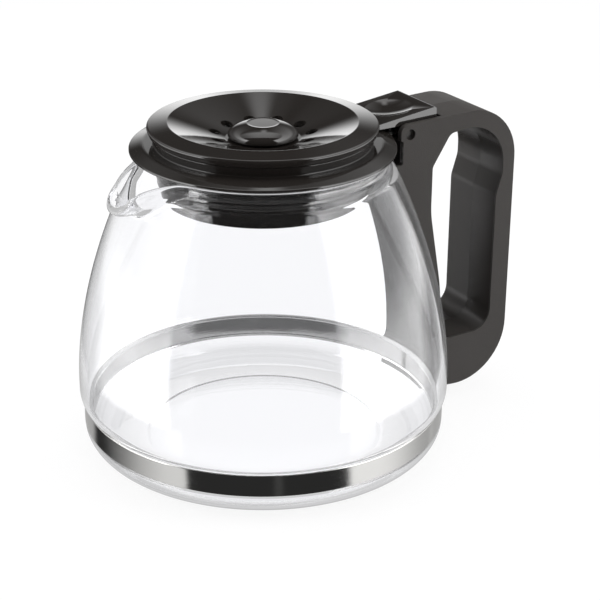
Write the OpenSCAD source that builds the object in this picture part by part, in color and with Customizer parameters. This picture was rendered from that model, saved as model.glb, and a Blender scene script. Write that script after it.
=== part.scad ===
// Coffee server carafe: a glass jug held by a steel band in a handle made of two half shells,
// with a lid that hinges on the handle's head and a drip dish that pulls up out of the lid.
// The origin is on the table, on the axis of the glass. The handle points along +X and
// the spout along -X. All lengths are in millimetres.

/* [Glass jug] */
// Height of the glass, from the table to the rim
jug_h = 116.6; // [104:0.2:130]
// Largest radius of the glass
belly_r = 71.5; // [66:0.5:78]
// Height of the widest ring
belly_z = 28; // [25:0.5:31]
// Outer radius of the upright lip
lip_r = 46.4; // [43:0.1:50]
// Height of the upright lip
lip_h = 3.2; // [2.6:0.1:4]
// Height over which the shoulder turns into the lip
neck_h = 4.2; // [3.4:0.1:5]
// Thickness of the glass wall
wall = 2.4; // [1.8:0.1:2.8]
// Thickness of the glass floor
floor_t = 3.2; // [2.4:0.1:4]
// Width of the rounded heel
heel_w = 13; // [8:0.5:18]
// Exponent of the shoulder's curve
shoulder_bend = 1.82; // [1.76:0.01:1.9]

/* [Spout] */
// Radius of the lip's arc as it dips to the tip, seen from the side
spout_dip_r = 28; // [26:0.5:30]
// Distance of the start of the dip inside the lip's outer face
spout_start_in = 4.4; // [3.4:0.2:5.4]
// Radius of the trough at its root
spout_root_r = 21; // [19:0.2:22]
// Distance of the root inside the lip's outer face
spout_root_in = 8.4; // [7.4:0.2:10.4]
// Radius of the round tip
spout_tip_r = 8.3; // [7.5:0.1:9]
// Reach of the tip's centre beyond the lip's outer face
spout_reach = 11.4; // [9.6:0.2:12.6]
// Depth of the tip's centre below the rim
spout_drop = 5.6; // [4.8:0.1:6.4]

/* [Steel band] */
// Depth of the band's outer face inside the widest ring of the glass
band_in = 1.5; // [1.1:0.1:2.5]
// Thickness of the steel
band_t = 0.8; // [0.5:0.05:1]
// Width of the band
band_h = 8.4; // [7:0.1:9]
// Height of the band's middle above the table
band_z = 14.8; // [14.5:0.1:16]
// Reach of the two clamping lugs beyond the band
lug_reach = 12; // [10.5:0.5:14]
// Half of the gap between the two lugs
lug_gap = 1.2; // [0.8:0.1:1.6]

/* [Handle] */
// Width of the handle
handle_w = 30; // [29.8:0.2:33]
// Distance of the grip's outer face from the widest ring of the glass
grip_reach = 35.4; // [32:0.2:42]
// Height of the top face above the glass rim
handle_rise = 6.8; // [6.2:0.1:7.4]
// Height at which the sloping lower edge would meet the grip's outer face
handle_low = 4; // [3:0.2:6]
// Thickness of the grip
grip_t = 8.3; // [7:0.1:9]
// Thickness of the bridge over the finger loop
bridge_t = 5.8; // [5.2:0.1:6.4]
// Extra room for the first finger
finger_swell = 2.8; // [1.5:0.1:3.2]
// Radius of the grip's upper outside corner
top_corner_r = 22; // [18:0.5:24]
// Radius of the grip's lower outside corner
low_corner_r = 23.3; // [20:0.1:25]
// Height of the foot's upper face
foot_top = 28; // [26:0.5:32]
// Thickness of the stem in the upper third of the finger loop
stem_top_t = 6.4; // [5.8:0.1:7]
// Thickness of the stem where it lies along the belly
stem_t = 3.7; // [3:0.1:5]
// Gap between the handle and the glass
glass_gap = 0.3; // [0.2:0.05:0.4]

/* [Hinge] */
// Distance of the hinge pin outside the glass lip
pin_out = 9.6; // [9.4:0.1:9.9]
// Height of the hinge pin above the glass rim
pin_lift = 1.4; // [1.2:0.1:1.6]
// Radius of the hinge pin
pin_r = 1.5; // [1.2:0.1:1.8]
// Radial clearance of the pin in the lid's knuckle
pin_fit = 0.05; // [0.03:0.01:0.1]
// Width of the thumb lever and the knuckle under it
lever_w = 25; // [24:0.1:25.4]
// Distance of the thumb lever's outer end from the pin
lever_reach = 13.6; // [11:0.1:14]
// Thickness of the thumb lever at its outer end
lever_t = 4.3; // [3.4:0.1:4.6]
// Radius of the thumb recess where it meets the lever's face
thumb_r = 9.5; // [7:0.1:10]
// Depth of the thumb recess
thumb_depth = 1.8; // [1:0.1:2.2]

/* [Lid] */
// Reach of the lid's flange beyond the glass lip
flange_out = 3.1; // [2.6:0.1:3.6]
// Thickness of the flange where it meets the upstand
flange_t = 2.6; // [2.2:0.1:2.8]
// Height of the flange's underside above the glass rim
flange_lift = 1.7; // [1.6:0.05:2]
// Room between the neck of the glass and the skirt that hangs in it
skirt_room = 4; // [3.4:0.1:6]
// Depth of the skirt below the glass rim
skirt_h = 10.6; // [8:0.2:13]
// Thickness of the skirt and the upstand
lid_t = 1.8; // [1.5:0.1:2]
// Distance of the upstand round the dish from the flange's edge
upstand_in = 9; // [8.8:0.1:9.2]
// Height of the upstand above the flange
upstand_h = 3.6; // [3.4:0.1:4]

/* [Drip dish] */
// Reach of the dish's rim beyond the upstand
rim_out = 2.35; // [2:0.05:2.6]
// Width of the slope between the rim and the crest
rim_w = 7.65; // [6.4:0.05:8.6]
// Height of the crest above the rim's underside
crest_h = 4; // [3.6:0.1:4.4]
// Depth of the bowl below the crest
bowl_h = 6.6; // [5.5:0.1:7]
// Radius of the bowl's flat middle
bowl_flat_r = 14; // [13.2:0.1:15]
// Length of the dish's tube below its rim
tube_h = 24.1; // [20:0.1:28]
// Clearance between the tube and the skirt
slide_gap = 0.3; // [0.2:0.05:0.4]
// Number of drain holes
drain_count = 11; // [6:1:12]
// Radius of a drain hole
drain_r = 2.3; // [1.6:0.1:2.6]
// Distance of the drain holes from the middle
drain_ring_r = 18.1; // [17.4:0.1:24]

/* [Knob] */
// Largest radius of the knob
knob_r = 13.1; // [12:0.1:13.4]
// Height of the knob's dome above its widest ring
knob_dome_h = 5.2; // [4:0.1:5.6]
// Height of the widest ring above the bowl's flat
knob_ring_h = 1.1; // [0.9:0.1:1.6]
// Radius of the knob's foot
knob_foot_r = 7; // [6:0.1:8]

/* [Hidden] */

// Fineness of round shapes, profile curves and rounded corners
$fn = 96;
wall_steps = 16;
neck_steps = 4;
heel_steps = 8;
corner_steps = 16;
// Overrun of every cut past the face that it leaves
over = 1;
// Clearance of a screw in its hole, of a piece over its seat, of a moving piece beside another
screw_fit = 0.05;
seat_gap = 0.3;
side_gap = 0.3;

// Glass: groove for the band, bulge above it, rounding of the rim, corner inside the heel
groove_side = 0.3;
groove_depth = 0.15;
bulge_h = 4.6;
rim_round = 0.8;
inner_heel_r = 7;
groove_low = band_z - band_h / 2 - groove_side;
groove_high = band_z + band_h / 2 + groove_side;
band_r = belly_r - band_in;
groove_r = band_r - band_t - groove_depth;
lip_low = jug_h - lip_h;
neck_low = lip_low - neck_h;
spout_start = lip_r - spout_start_in;
spout_root = lip_r - spout_root_in;
spout_tip = lip_r + spout_reach;

// Handle: ear round the pin, notch below it, corners of the finger loop
pin_x = lip_r + pin_out;
pin_z = jug_h + pin_lift;
handle_x = belly_r + grip_reach;
handle_top = jug_h + handle_rise;
half_w = handle_w / 2;
ear_r = 4.3;
ear_round = 3.2;
ear_rise = 4;
notch_in = 3.2;
notch_start = 2.4;
notch_drop = 11.6;
notch_x = pin_x - notch_in;
notch_low = pin_z - notch_drop;
edge_round = 1;
foot_slope = 5.8;
waist_rise = 26;
waist_round = 60;
waist_z = foot_top + waist_rise;
stem_drop = 39.4;
stem_round = 40;
stem_z = handle_top - stem_drop;
swell_drop = 28.9;
swell_h = 9;
swell_round = 10;
loop_round = 4;
loop_low_round = 8.5;
loop_top_round = 17.2;
loop_rise = 2.2;

// Room for the lever's sweep, the wall between it and the finger loop, the wall's slant
lever_rise = 8.5;
sweep_room = 0.16;
sweep_r = norm([lever_reach, lever_rise]) + sweep_room;
sweep_wall = 1.2;
sweep_slant = 33;
sweep_w = lever_w + 2 * side_gap;

// Hinge pin's sunk ends, arm, drop of the knuckle's top below the arm's face, lever
pin_sink = 1.6;
pin_sink_r = 2.1;
arm_t = 3.3;
knuckle_drop = 0.15;
lever_in_rise = 5.3;
lever_gap = 0.6;
lever_round = 1;

// Strip of the rim hook: width, thickness, inner leg, distance out from glass and locking toe
hook_w = 12;
hook_t = 0.8;
hook_leg = 7;
hook_out = 1.2;
hook_room = 2.6;
hook_depth = 9;
hook_toe = 2.5;
hook_fit = 0.1;

// Lid: seat over the rim, arm over the hook, edge of the flange, dish and knob
seat_in = 0.4;
seat_r = lip_r - seat_in;
flange_r = lip_r + flange_out;
skirt_r = lip_r - wall - skirt_room;
upstand_r = flange_r - upstand_in;
dish_r = upstand_r + rim_out;
crest_r = dish_r - rim_w;
flange_fall = 1.2;
flange_bevel = 0.3;
arm_low = jug_h + hook_t + 2 * seat_gap;
arm_top = arm_low + arm_t;
knuckle_r = arm_top - knuckle_drop - pin_z;
flange_low = jug_h + flange_lift;
flange_top = flange_low + flange_t;
upstand_top = flange_top + upstand_h;
bore_r = skirt_r - lid_t;
tube_r = bore_r - slide_gap;
rim_low = upstand_top + seat_gap;
crest_z = rim_low + crest_h;
bowl_z = crest_z - bowl_h;
bowl_t = 2;
rim_edge_h = 2;
rim_bevel = 0.65;
rim_fall = 1.2;
rim_tuck = 0.8;
drain_turn = 10;
knob_edge = 0.9;
knob_lift = 0.6;

// Screws: shank radius, length, head radius, head height, depth of the head below the face
join_r = 1.3;
join_l = 20;
join_head_r = 2.2;
join_head_h = 1.5;
join_sink = 3;
join_edge = 4.5;
clamp_r = 1.5;
clamp_head_r = 2.8;
clamp_head_h = 2;
clamp_sink = 4;
clamp_out = 7;
clamp_x = band_r + clamp_out;
nut_flats = 5.5;
nut_t = 2.4;
hex_sides = 6;
lug_room = 0.3;
lug_side = lug_gap + band_t + lug_room;
lever_screw_r = 1.2;
lever_screw_l = 3.9;
lever_screw_head_r = 2.1;
lever_screw_head_h = 1.2;
lever_screw_in = 6.5;
lever_screw_x = pin_x - lever_screw_in;
lever_screw_y = 9.5;
knob_screw_r = 1.5;
knob_screw_l = 5.5;
knob_screw_head_r = 3;
knob_screw_head_h = 1.6;
cross_share = 0.6;
cross_width_share = 0.22;

// Shoulder of the glass: radius at height z, a power curve from the widest ring to the rim
function rise_share(z) = (z - belly_z) / (jug_h - belly_z);
function shoulder_r(z) = belly_r - (belly_r - lip_r) * pow(rise_share(z), shoulder_bend);
// Slope of the shoulder at height z
function shoulder_slope(z) =
    -(belly_r - lip_r) / (jug_h - belly_z) * shoulder_bend * pow(rise_share(z), shoulder_bend - 1);
// Distance of the stem's outer face from the axis, above its upper bend
stem_x = shoulder_r(stem_z) + stem_top_t;
// Radius between shoulder and lip, s from 0 to 1: a cubic that meets both without a kink
function neck_r(s) =
    (2 * s * s * s - 3 * s * s + 1) * shoulder_r(neck_low)
    + (s * s * s - 2 * s * s + s) * neck_h * shoulder_slope(neck_low)
    + (3 * s * s - 2 * s * s * s) * lip_r;
// Radius of the bulge above the band, s from 0 to 1: a quarter of an ellipse
function bulge_r(low_r, high_r, s) = low_r + (high_r - low_r) * sin(90 * s);
function bulge_z(s) = groove_high + bulge_h * (1 - cos(90 * s));

// Wall above the bulge as [radius, height], moved inwards by t across its own slope
function upper_wall(t) = concat(
    [for (i = [0:wall_steps]) let (z = belly_z + (neck_low - belly_z) * i / wall_steps)
        [shoulder_r(z) - t * sqrt(1 + pow(shoulder_slope(z), 2)), z]],
    [for (i = [1:neck_steps]) let (s = i / neck_steps,
        slope = shoulder_slope(neck_low) * (1 - s))
        [neck_r(s) - t * sqrt(1 + slope * slope), neck_low + neck_h * s]]
);

// Outside of the glass as [radius, height], grown outwards by grow
function jug_outside(grow) = concat(
    [[0, 0]],
    [for (i = [0:heel_steps]) let (a = 90 * i / heel_steps)
        [band_r + grow - heel_w + heel_w * sin(a), groove_low * (1 - cos(a))]],
    [[groove_r + grow, groove_low], [groove_r + grow, groove_high]],
    [for (i = [1:neck_steps]) let (s = i / neck_steps)
        [bulge_r(groove_r, belly_r, s) + grow, bulge_z(s)]],
    upper_wall(-grow)
);

module jug_form(grow = 0) {
    rotate_extrude()
        polygon(concat(jug_outside(grow),
            [[lip_r + grow, jug_h - rim_round],
             [lip_r + grow - rim_round * (1 - cos(45)), jug_h - rim_round * (1 - sin(45))],
             [lip_r + grow - rim_round, jug_h],
             [0, jug_h]]));
}

module jug_hollow() {
    in_r = groove_r - wall;
    rotate_extrude()
        polygon(concat(
            [[0, floor_t]],
            [for (i = [0:heel_steps]) let (a = 90 * i / heel_steps)
                [in_r - inner_heel_r + inner_heel_r * sin(a),
                 floor_t + inner_heel_r * (1 - cos(a))]],
            [[in_r, groove_high]],
            [for (i = [1:neck_steps]) let (s = i / neck_steps)
                [bulge_r(in_r, belly_r - wall, s), bulge_z(s)]],
            upper_wall(wall),
            [[lip_r - wall, jug_h - rim_round],
             [lip_r - wall + rim_round * (1 - cos(45)), jug_h - rim_round * (1 - sin(45))],
             [lip_r - wall + rim_round, jug_h],
             [lip_r - wall + rim_round, jug_h + over],
             [0, jug_h + over]]));
}

// Trough of the spout: a leaning cone with a round end, turned in one piece, thinner by t
module spout_form(t) {
    run = norm([spout_tip - spout_root, spout_drop]);
    translate([-spout_root, 0, jug_h])
        rotate([0, -90 - atan2(spout_drop, spout_tip - spout_root), 0])
            rotate_extrude() polygon(concat(
                [[0, 0], [spout_root_r - t, 0]],
                [for (i = [0:corner_steps]) let (a = 90 * i / corner_steps)
                    [(spout_tip_r - t) * cos(a), run + (spout_tip_r - t) * sin(a)]]));
}

// What lies above the glass: the space over the rim, and over the lip's arc past the neck
module above_lip() {
    reach = spout_dip_r + spout_start;
    rotate([90, 0, 0]) linear_extrude(4 * spout_root_r, center = true) polygon(concat(
        [[0, jug_h + spout_root_r + over], [0, jug_h]],
        [for (i = [0:wall_steps]) let (a = 90 * i / wall_steps)
            [-spout_start - spout_dip_r * sin(a), jug_h - spout_dip_r * (1 - cos(a))]],
        [[-reach - over, jug_h - spout_dip_r], [-reach - over, jug_h + spout_root_r + over]]));
}

module glass_jug() {
    color([0.86, 0.92, 0.92, 0.45])
        difference() {
            union() {
                jug_form();
                spout_form(0);
            }
            jug_hollow();
            spout_form(wall);
            above_lip();
        }
}

module glass_band() {
    color([0.78, 0.78, 0.76])
        difference() {
            union() {
                translate([0, 0, band_z - band_h / 2]) difference() {
                    cylinder(h = band_h, r = band_r);
                    translate([0, 0, -over]) cylinder(h = band_h + 2 * over, r = band_r - band_t);
                    translate([0, -lug_gap, -over])
                        cube([band_r + over, 2 * lug_gap, band_h + 2 * over]);
                }
                for (side = [-1, 1])
                    translate([band_r - band_t, side * (lug_gap + band_t / 2) - band_t / 2,
                               band_z - band_h / 2])
                        cube([lug_reach + band_t, band_t, band_h]);
            }
            translate([clamp_x, 0, band_z]) rotate([90, 0, 0])
                cylinder(h = 2 * (lug_side + over), r = clamp_r + screw_fit, center = true);
        }
}

// Screw along +Z with its head below z = 0 and a cross recess in the head
module cross_screw(r, l, head_r, head_h) {
    difference() {
        union() {
            cylinder(h = l, r = r);
            translate([0, 0, -head_h]) cylinder(h = head_h, r = head_r);
        }
        for (turn = [0, 90]) rotate([0, 0, turn])
            translate([-head_r * cross_share, -head_r * cross_width_share / 2, -head_h - over])
                cube([2 * head_r * cross_share, head_r * cross_width_share,
                      over + head_h * cross_share]);
    }
}

module band_screw() {
    color([0.6, 0.6, 0.6])
        translate([clamp_x, half_w - clamp_sink, band_z]) rotate([90, 0, 0])
            cross_screw(clamp_r, half_w - clamp_sink + lug_side + nut_t + seat_gap,
                        clamp_head_r, clamp_head_h);
}

module band_nut() {
    nut_r = nut_flats / 2 / cos(180 / hex_sides);
    color([0.7, 0.68, 0.6])
        translate([clamp_x, -lug_side, band_z]) rotate([90, 0, 0]) difference() {
            cylinder(h = nut_t, r = nut_r, $fn = hex_sides);
            translate([0, 0, -over]) cylinder(h = nut_t + 2 * over, r = clamp_r + screw_fit);
        }
}

// Arc that rounds the corner q between p and s: each point is [x, z, radius]
function corner(p, q, s) =
    let (a = [p.x - q.x, p.y - q.y] / norm([p.x - q.x, p.y - q.y]),
         b = [s.x - q.x, s.y - q.y] / norm([s.x - q.x, s.y - q.y]),
         half = acos(a * b) / 2,
         mid = [q.x, q.y] + (a + b) / norm(a + b) * q.z / sin(half),
         from = [q.x, q.y] + a * q.z / tan(half) - mid,
         side = sign(cross(-a, b)))
    q.z == 0 ? [[q.x, q.y]] :
    [for (i = [0:corner_steps]) let (t = side * (180 - 2 * half) * i / corner_steps)
        mid + [from.x * cos(t) - from.y * sin(t), from.x * sin(t) + from.y * cos(t)]];
function rounded(points) =
    let (n = len(points))
    [for (i = [0:n - 1]) each corner(points[(i + n - 1) % n], points[i], points[(i + 1) % n])];

// Slanted wall that keeps its distance from the lever's sweep, at a given x or at a given z
function slant_at_x(x) =
    [x, pin_z + ((x - pin_x) * cos(sweep_slant) - sweep_r - sweep_wall) / sin(sweep_slant)];
function slant_at_z(z) =
    [pin_x + (sweep_r + sweep_wall + (z - pin_z) * sin(sweep_slant)) / cos(sweep_slant), z];

module handle_outline() {
    grip_x = handle_x - grip_t;
    loop_top = handle_top - bridge_t;
    swell_z = handle_top - swell_drop;
    low_in = slant_at_x(stem_x);
    high_in = slant_at_z(loop_top - loop_rise);
    difference() {
        polygon(rounded([
            [pin_x - ear_r, pin_z + ear_rise, ear_round],
            [pin_x - ear_r, pin_z - notch_start, edge_round],
            [notch_x, pin_z - notch_start, 0],
            [notch_x, notch_low, edge_round],
            [lip_r, notch_low, 0],
            [lip_r, handle_low + foot_slope, 0],
            [handle_x, handle_low, low_corner_r],
            [handle_x, handle_top, top_corner_r]
        ]));
        polygon(rounded([
            [low_in.x, low_in.y, loop_round],
            [high_in.x, high_in.y, loop_round],
            [grip_x + finger_swell, loop_top, loop_top_round],
            [grip_x + finger_swell, swell_z, swell_round],
            [grip_x, swell_z - swell_h, swell_round],
            [grip_x, foot_top, loop_low_round],
            [belly_r + stem_t, foot_top, loop_round],
            [shoulder_r(waist_z) + stem_t, waist_z, waist_round],
            [stem_x, stem_z, stem_round]
        ]));
    }
}

// Places of the four joining screws, seen from the side: grip, foot, bridge and stem
function join_places() =
    let (grip_x = handle_x - grip_t,
         foot_r = loop_low_round + (low_corner_r - loop_low_round) / 2,
         stem_screw_z = notch_low - 3 * join_edge)
    [[handle_x - grip_t / 2, (foot_top + pin_z) / 2],
     [grip_x - loop_low_round + foot_r * cos(45), foot_top + loop_low_round - foot_r * sin(45)],
     [pin_x + sweep_r + join_edge, handle_top - bridge_t + join_edge / 2],
     [(shoulder_r(stem_screw_z) + glass_gap + stem_x) / 2, stem_screw_z]];

// Path of the hook's strip, seen from the side: over the rim and down into the stem
function hook_path() =
    let (leg_x = sqrt(pow(lip_r - wall - seat_gap, 2) - pow(hook_w / 2, 2)) - hook_t / 2,
         top_z = jug_h + seat_gap + hook_t / 2,
         out_x = lip_r + hook_out + hook_t / 2,
         in_z = notch_low - edge_round,
         end_z = notch_low - hook_depth)
    [[leg_x, jug_h - hook_leg], [leg_x, top_z], [out_x, top_z], [out_x, lip_low],
     [shoulder_r(in_z) + hook_room, in_z], [shoulder_r(end_z) + hook_room, end_z],
     [shoulder_r(end_z) + hook_room + hook_toe, end_z]];

// Outline of a strip of thickness t along a path, with mitred corners
function unit(v) = v / norm(v);
function side_of(path, i, j) =
    let (v = unit(path[j] - path[i])) [-v.y, v.x];
function mitre(path, i) =
    i == 0 ? side_of(path, 0, 1) :
    i == len(path) - 1 ? side_of(path, i - 1, i) :
    let (a = side_of(path, i - 1, i), b = side_of(path, i, i + 1)) (a + b) / (1 + a * b);
function strip(path, t) = concat(
    [for (i = [0:len(path) - 1]) path[i] + mitre(path, i) * t / 2],
    [for (i = [len(path) - 1:-1:0]) path[i] - mitre(path, i) * t / 2]);

module hook_strip(t, w) {
    rotate([90, 0, 0]) linear_extrude(w, center = true) polygon(strip(hook_path(), t));
}

module rim_hook() {
    color([0.16, 0.15, 0.15]) hook_strip(hook_t, hook_w);
}

// Handle with every recess that both halves share, before it is split at y = 0
module handle_body() {
    difference() {
        rotate([90, 0, 0]) linear_extrude(handle_w, center = true) handle_outline();
        jug_form(glass_gap);
        translate([0, 0, groove_low - over])
            cylinder(h = groove_high - groove_low + over, r = band_r + glass_gap);
        translate([pin_x, 0, pin_z]) rotate([90, 0, 0]) {
            cylinder(h = sweep_w, r = sweep_r, center = true);
            cylinder(h = handle_w + 2 * over, r = pin_r + screw_fit, center = true);
            for (side = [-1, 1]) translate([0, 0, side * (half_w - pin_sink / 2 + over / 2)])
                cylinder(h = pin_sink + over, r = pin_sink_r, center = true);
        }
        translate([band_r - lug_reach, -lug_side, groove_low])
            cube([2 * lug_reach + lug_room, 2 * lug_side, groove_high - groove_low]);
        hook_strip(hook_t + 2 * hook_fit, hook_w + 2 * hook_fit);
    }
}

module handle_left() {
    nut_r = (nut_flats / 2 + screw_fit) / cos(180 / hex_sides);
    blind = join_l + join_sink - half_w + seat_gap;
    color([0.2, 0.19, 0.18])
        difference() {
            handle_body();
            translate([0, 0, -over])
                cube([2 * handle_x, handle_w, handle_top + 2 * over]);
            for (p = join_places())
                translate([p.x, over, p.y]) rotate([90, 0, 0])
                    cylinder(h = over + blind, r = join_r + screw_fit);
            translate([clamp_x, 0, band_z]) rotate([90, 0, 0]) {
                cylinder(h = lug_side + nut_t + screw_fit, r = nut_r, $fn = hex_sides);
                cylinder(h = lug_side + nut_t + 2 * seat_gap, r = clamp_r + screw_fit);
            }
        }
}

module handle_right() {
    color([0.2, 0.19, 0.18])
        difference() {
            handle_body();
            translate([0, -handle_w, -over])
                cube([2 * handle_x, handle_w, handle_top + 2 * over]);
            for (p = join_places()) translate([p.x, half_w, p.y]) rotate([90, 0, 0]) {
                translate([0, 0, -over]) cylinder(h = half_w + 2 * over, r = join_r + screw_fit);
                translate([0, 0, -over]) cylinder(h = join_sink + over, r = join_head_r + side_gap);
            }
            translate([clamp_x, half_w, band_z]) rotate([90, 0, 0]) {
                translate([0, 0, -over]) cylinder(h = half_w + 2 * over, r = clamp_r + screw_fit);
                translate([0, 0, -over])
                    cylinder(h = clamp_sink + over, r = clamp_head_r + side_gap);
            }
        }
}

module handle_screws() {
    color([0.6, 0.6, 0.6])
        for (p = join_places())
            translate([p.x, half_w - join_sink, p.y]) rotate([90, 0, 0])
                cross_screw(join_r, join_l, join_head_r, join_head_h);
}

module hinge_pin() {
    color([0.7, 0.7, 0.7])
        translate([pin_x, 0, pin_z]) rotate([90, 0, 0])
            cylinder(h = handle_w - 2 * pin_sink, r = pin_r, center = true);
}

module lid_collar() {
    color([0.1, 0.1, 0.1])
        difference() {
            union() {
                rotate_extrude() polygon([
                    [bore_r, jug_h - skirt_h],
                    [skirt_r, jug_h - skirt_h],
                    [skirt_r, flange_low],
                    [seat_r - lid_t, flange_low],
                    [seat_r - lid_t, jug_h + seat_gap],
                    [seat_r, jug_h + seat_gap],
                    [seat_r, flange_low],
                    [flange_r - flange_bevel, flange_low],
                    [flange_r, flange_low + flange_bevel],
                    [flange_r, flange_top - flange_fall],
                    [upstand_r, flange_top],
                    [upstand_r, upstand_top],
                    [upstand_r - lid_t, upstand_top],
                    [upstand_r - lid_t, flange_low + lid_t],
                    [bore_r, flange_low + lid_t]
                ]);
                difference() {
                    translate([upstand_r / 2, -lever_w / 2, arm_low])
                        cube([pin_x - upstand_r / 2, lever_w, arm_t]);
                    cylinder(h = arm_top + over, r = upstand_r - lid_t / 2);
                }
                translate([pin_x, 0, pin_z]) rotate([90, 0, 0])
                    cylinder(h = lever_w, r = knuckle_r, center = true);
            }
            translate([skirt_r + over, -hook_w / 2 - over, jug_h])
                cube([seat_r - skirt_r, hook_w + 2 * over, arm_low - jug_h]);
            translate([pin_x, 0, pin_z]) rotate([90, 0, 0])
                cylinder(h = lever_w + 2 * over, r = pin_r + pin_fit, center = true);
            for (side = [-1, 1]) translate([lever_screw_x, side * lever_screw_y, arm_low]) {
                translate([0, 0, -over])
                    cylinder(h = over + lever_screw_head_h, r = lever_screw_head_r + screw_fit);
                cylinder(h = arm_t + over, r = lever_screw_r + screw_fit);
            }
        }
}

module thumb_lever() {
    end_x = pin_x + lever_reach;
    end_z = pin_z + lever_rise;
    in_x = dish_r + lever_gap;
    in_z = pin_z + lever_in_rise;
    slant = atan2(end_z - in_z, end_x - in_x);
    ball_r = (thumb_r * thumb_r + thumb_depth * thumb_depth) / (2 * thumb_depth);
    mid_z = in_z + (pin_x - in_x) * tan(slant);
    color([0.1, 0.1, 0.1])
        difference() {
            rotate([90, 0, 0]) linear_extrude(lever_w, center = true)
                polygon(rounded([
                    [skirt_r, arm_top, 0],
                    [pin_x + knuckle_r, arm_top, 0],
                    [end_x, end_z - lever_t, lever_round / 2],
                    [end_x, end_z, lever_round],
                    [skirt_r, in_z - (in_x - skirt_r) * tan(slant), 0]
                ]));
            cylinder(h = end_z + over, r = in_x);
            translate([pin_x, 0, mid_z]) rotate([0, -slant, 0])
                translate([0, 0, ball_r - thumb_depth]) sphere(ball_r);
            for (side = [-1, 1])
                translate([lever_screw_x, side * lever_screw_y, arm_top - over])
                    cylinder(h = over + lever_screw_l - arm_t + lever_screw_head_h + side_gap,
                             r = lever_screw_r + screw_fit);
        }
}

module lever_screws() {
    color([0.6, 0.6, 0.6])
        for (side = [-1, 1])
            translate([lever_screw_x, side * lever_screw_y, arm_low + lever_screw_head_h])
                cross_screw(lever_screw_r, lever_screw_l, lever_screw_head_r,
                            lever_screw_head_h);
}

module lid_dish() {
    slope = bowl_h / (crest_r - bowl_flat_r);
    in_r = tube_r - lid_t;
    color([0.1, 0.1, 0.1])
        difference() {
            rotate_extrude() polygon([
                [knob_screw_r + screw_fit, bowl_z],
                [bowl_flat_r, bowl_z],
                [crest_r, crest_z],
                [dish_r - rim_bevel, crest_z - rim_fall],
                [dish_r, rim_low + rim_edge_h],
                [dish_r - rim_tuck, rim_low],
                [tube_r, rim_low],
                [tube_r, rim_low - tube_h],
                [in_r, rim_low - tube_h],
                [in_r, crest_z - bowl_t],
                [crest_r, crest_z - bowl_t],
                [bowl_flat_r, bowl_z - bowl_t],
                [knob_screw_r + screw_fit, bowl_z - bowl_t]
            ]);
            for (i = [0:drain_count - 1]) rotate([0, 0, drain_turn + 360 * i / drain_count])
                translate([drain_ring_r, 0, bowl_z - bowl_t - over])
                    cylinder(h = bowl_t + bowl_h + over, r = drain_r);
        }
}

module knob() {
    ring_z = bowl_z + knob_ring_h;
    color([0.1, 0.1, 0.1])
        difference() {
            rotate_extrude() polygon(concat(
                [[0, bowl_z], [knob_foot_r, bowl_z], [knob_foot_r, bowl_z + knob_lift / 2],
                 [knob_r - knob_edge, bowl_z + knob_lift]],
                [for (i = [0:corner_steps]) let (a = 90 - 90 * i / corner_steps)
                    [knob_r * sin(a), ring_z + knob_dome_h * cos(a)]]));
            translate([0, 0, bowl_z - over])
                cylinder(h = knob_screw_l - bowl_t + over + seat_gap,
                         r = knob_screw_r + screw_fit);
        }
}

module knob_screw() {
    color([0.6, 0.6, 0.6])
        translate([0, 0, bowl_z - bowl_t])
            cross_screw(knob_screw_r, knob_screw_l, knob_screw_head_r, knob_screw_head_h);
}

glass_jug();
glass_band();
band_screw();
band_nut();
handle_left();
handle_right();
handle_screws();
rim_hook();
hinge_pin();
lid_collar();
thumb_lever();
lever_screws();
lid_dish();
knob();
knob_screw();
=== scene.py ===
# %% [markdown]
# A glass coffee server, dressed round its construction model.
# The construction model gives every piece its size, place and motion. This lesson adds what
# the eye sees: a real glass wall with a spout, a polished band, moulded plastic and its grain.
# The frame is loaded first, because every later measure is read from it.

import math

import bmesh
import bpy
import numpy as np
from mathutils import Matrix, Vector


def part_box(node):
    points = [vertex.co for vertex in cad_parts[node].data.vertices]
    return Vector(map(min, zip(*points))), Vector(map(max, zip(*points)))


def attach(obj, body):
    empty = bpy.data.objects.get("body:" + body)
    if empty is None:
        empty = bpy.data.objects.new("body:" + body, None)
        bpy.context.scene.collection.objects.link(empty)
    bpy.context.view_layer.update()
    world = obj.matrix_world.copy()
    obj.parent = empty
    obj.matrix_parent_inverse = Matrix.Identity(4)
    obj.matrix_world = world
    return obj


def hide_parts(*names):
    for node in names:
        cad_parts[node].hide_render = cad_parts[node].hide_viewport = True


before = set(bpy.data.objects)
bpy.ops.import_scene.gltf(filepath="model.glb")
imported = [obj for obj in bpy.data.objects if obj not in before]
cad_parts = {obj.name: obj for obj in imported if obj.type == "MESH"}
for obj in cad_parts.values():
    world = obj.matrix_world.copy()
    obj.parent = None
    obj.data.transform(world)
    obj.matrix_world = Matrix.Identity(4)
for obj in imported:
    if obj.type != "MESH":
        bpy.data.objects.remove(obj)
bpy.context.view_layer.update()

# %% [markdown]
# Where each piece lies is read from the boxes of the construction nodes, so a change of size
# there is followed here. Only the sizes that no box shows are written out, in millimetres.

# %% Measures of the object
glass_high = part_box("glass_jug")[1]
band_low, band_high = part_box("glass_band")
collar_low, collar_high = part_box("lid_collar")
dish_low, dish_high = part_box("lid_dish")
knob_low, knob_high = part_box("knob")
pin_low, pin_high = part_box("hinge_pin")

MM = 0.001
RIM_Z = glass_high.z
BELLY_R = glass_high.x
BAND_R = -band_low.x
BAND_T = 0.8 * MM
PIN_X, PIN_Z = (pin_low.x + pin_high.x) / 2, (pin_low.z + pin_high.z) / 2
print("glass height and radius in mm:", round(RIM_Z / MM, 2), round(BELLY_R / MM, 2))

# %% [markdown]
# The camera repeats the photograph's view. A long lens stands well back, a little above the
# lid, and looks down by some 24 degrees. It stands where the handle points away to the right.
# Its direction, its right and its up are worked out as three vectors.

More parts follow.
